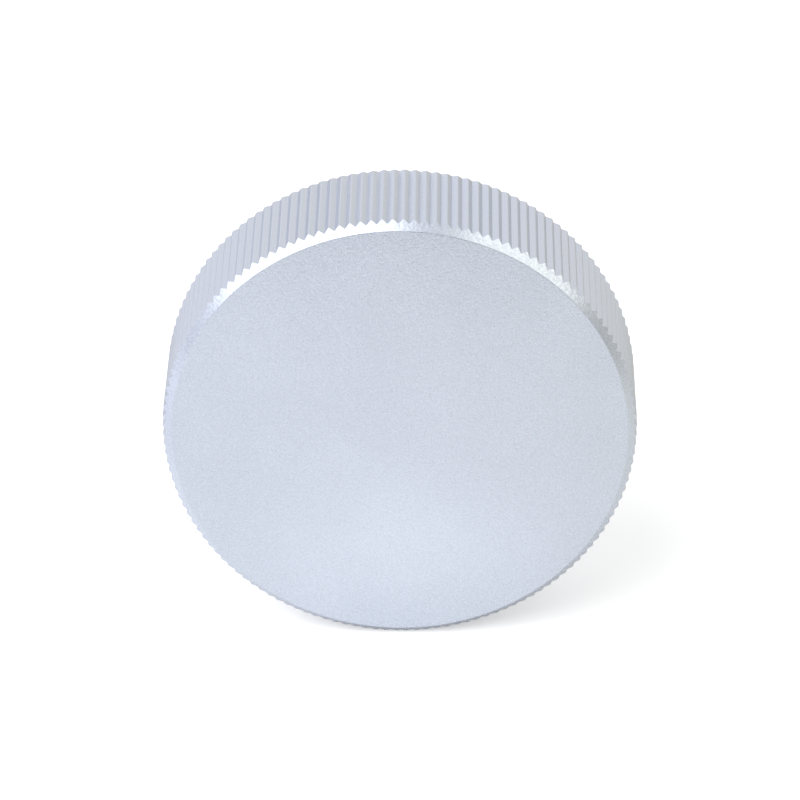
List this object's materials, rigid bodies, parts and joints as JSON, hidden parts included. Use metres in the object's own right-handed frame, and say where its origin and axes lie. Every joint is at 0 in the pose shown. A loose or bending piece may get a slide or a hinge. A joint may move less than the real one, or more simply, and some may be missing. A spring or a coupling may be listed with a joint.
{
  "type": "handwheel",
  "caption": "Solid disc handwheel with a straight-knurled rim, a chamfered plain face and a rear hub with a blind shaft bore and a set screw.",
  "frame": {"origin": "on the bore's axis, in the plane of the disc's rear face, where the hub begins", "axes": "+Y along the bore, out of its mouth at the hub's end; the plain face looks to -Y; +Z through the set screw's hole"},
  "size_m": [0.045, 0.02, 0.045],
  "materials": {
    "anodised_aluminium": "bead-blasted and clear-anodised, satin",
    "screw_steel": "plain stainless, satin"
  },
  "bodies": {
    "root": {"knurled_wheel": "anodised_aluminium", "set_screw": "screw_steel"}
  },
  "joints": []
}
